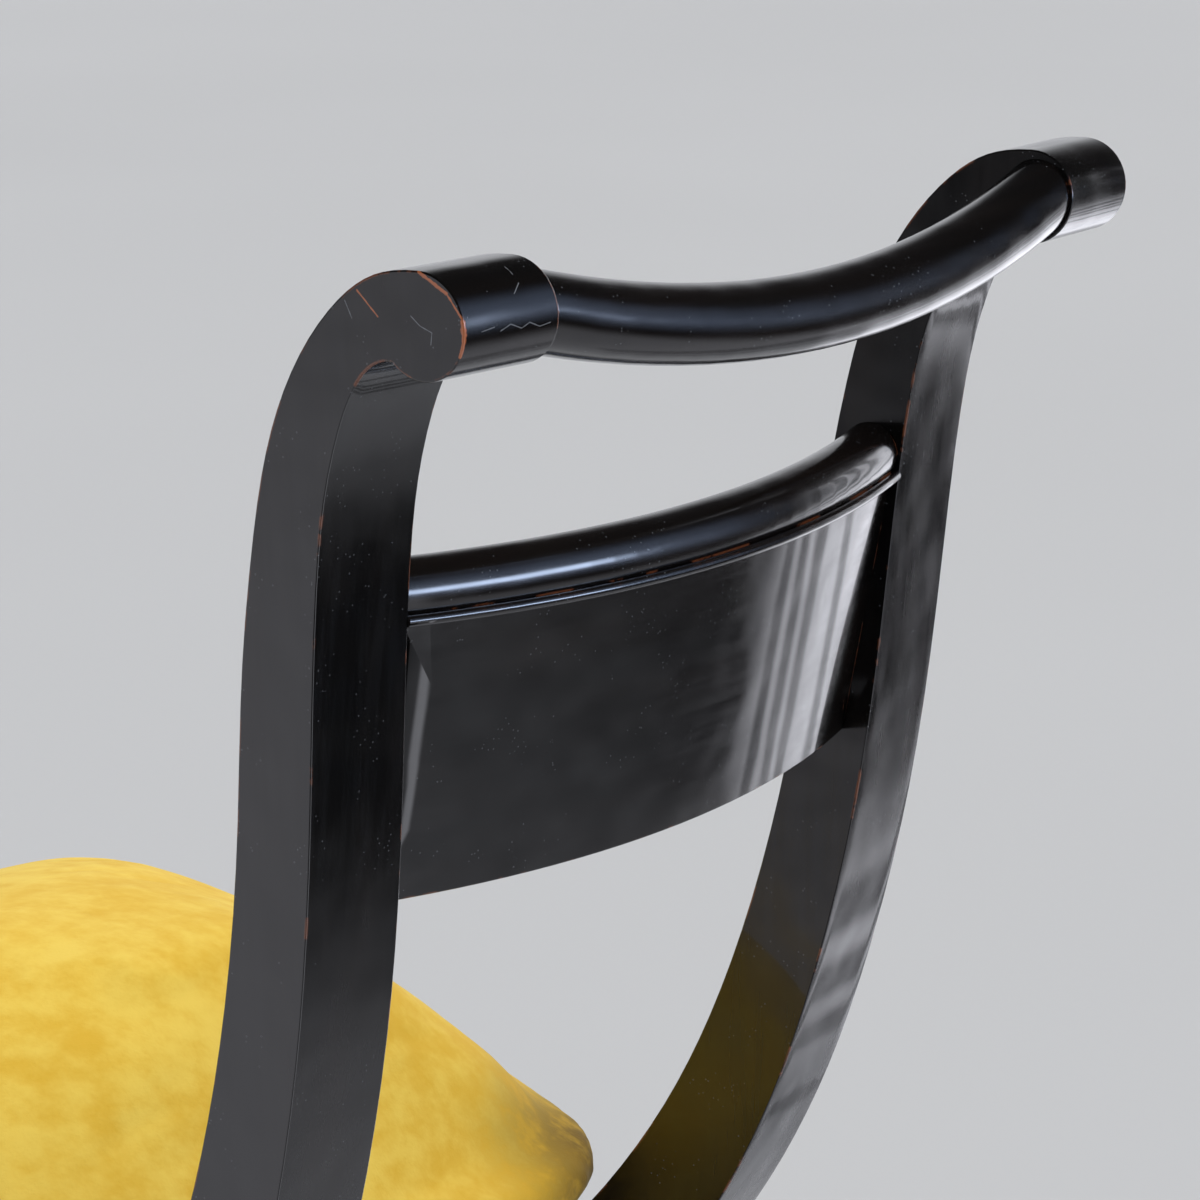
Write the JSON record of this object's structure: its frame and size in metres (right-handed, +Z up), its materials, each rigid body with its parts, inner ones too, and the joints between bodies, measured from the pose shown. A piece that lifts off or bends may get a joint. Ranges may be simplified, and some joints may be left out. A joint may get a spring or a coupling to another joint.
{
  "type": "dining chair",
  "caption": "Klismos dining chair: scroll-topped sabre stiles, round bowed crest rail, bowed back panel with rolled top, sabre legs and a loose domed upholstered seat.",
  "frame": {"origin": "on the floor at the middle of the chair's length and width", "axes": "+Z up, the sitter faces -Y, +X is the sitter's left"},
  "size_m": [0.519, 0.6066, 0.8524],
  "materials": {
    "ebonised_wood": "ebonised and polished",
    "pine": "planed, unfinished",
    "steel": "plain wood screws",
    "webbing": "woven jute",
    "hessian": "open plain weave",
    "bottoming_cloth": "plain black cotton",
    "stuffing": "curled hair and wadding",
    "velvet": "short pile velvet"
  },
  "bodies": {
    "root": {"left_stile": "ebonised_wood", "right_stile": "ebonised_wood", "crest_rail": "ebonised_wood", "back_panel": "ebonised_wood", "left_side_rail": "ebonised_wood", "right_side_rail": "ebonised_wood", "front_rail": "ebonised_wood", "rear_rail": "ebonised_wood", "left_front_leg": "ebonised_wood", "right_front_leg": "ebonised_wood", "left_rear_leg": "ebonised_wood", "right_rear_leg": "ebonised_wood", "left_front_corner_block": "pine", "right_front_corner_block": "pine", "left_rear_corner_block": "pine", "right_rear_corner_block": "pine", "seat_frame_front": "pine", "seat_frame_rear": "pine", "seat_frame_left": "pine", "seat_frame_right": "pine", "corner_block_screws": "steel", "seat_screws": "steel", "webbing_lengthwise": "webbing", "webbing_crosswise": "webbing", "hessian": "hessian", "bottoming_cloth": "bottoming_cloth", "seat_stuffing": "stuffing", "seat_cover": "velvet"}
  },
  "joints": []
}
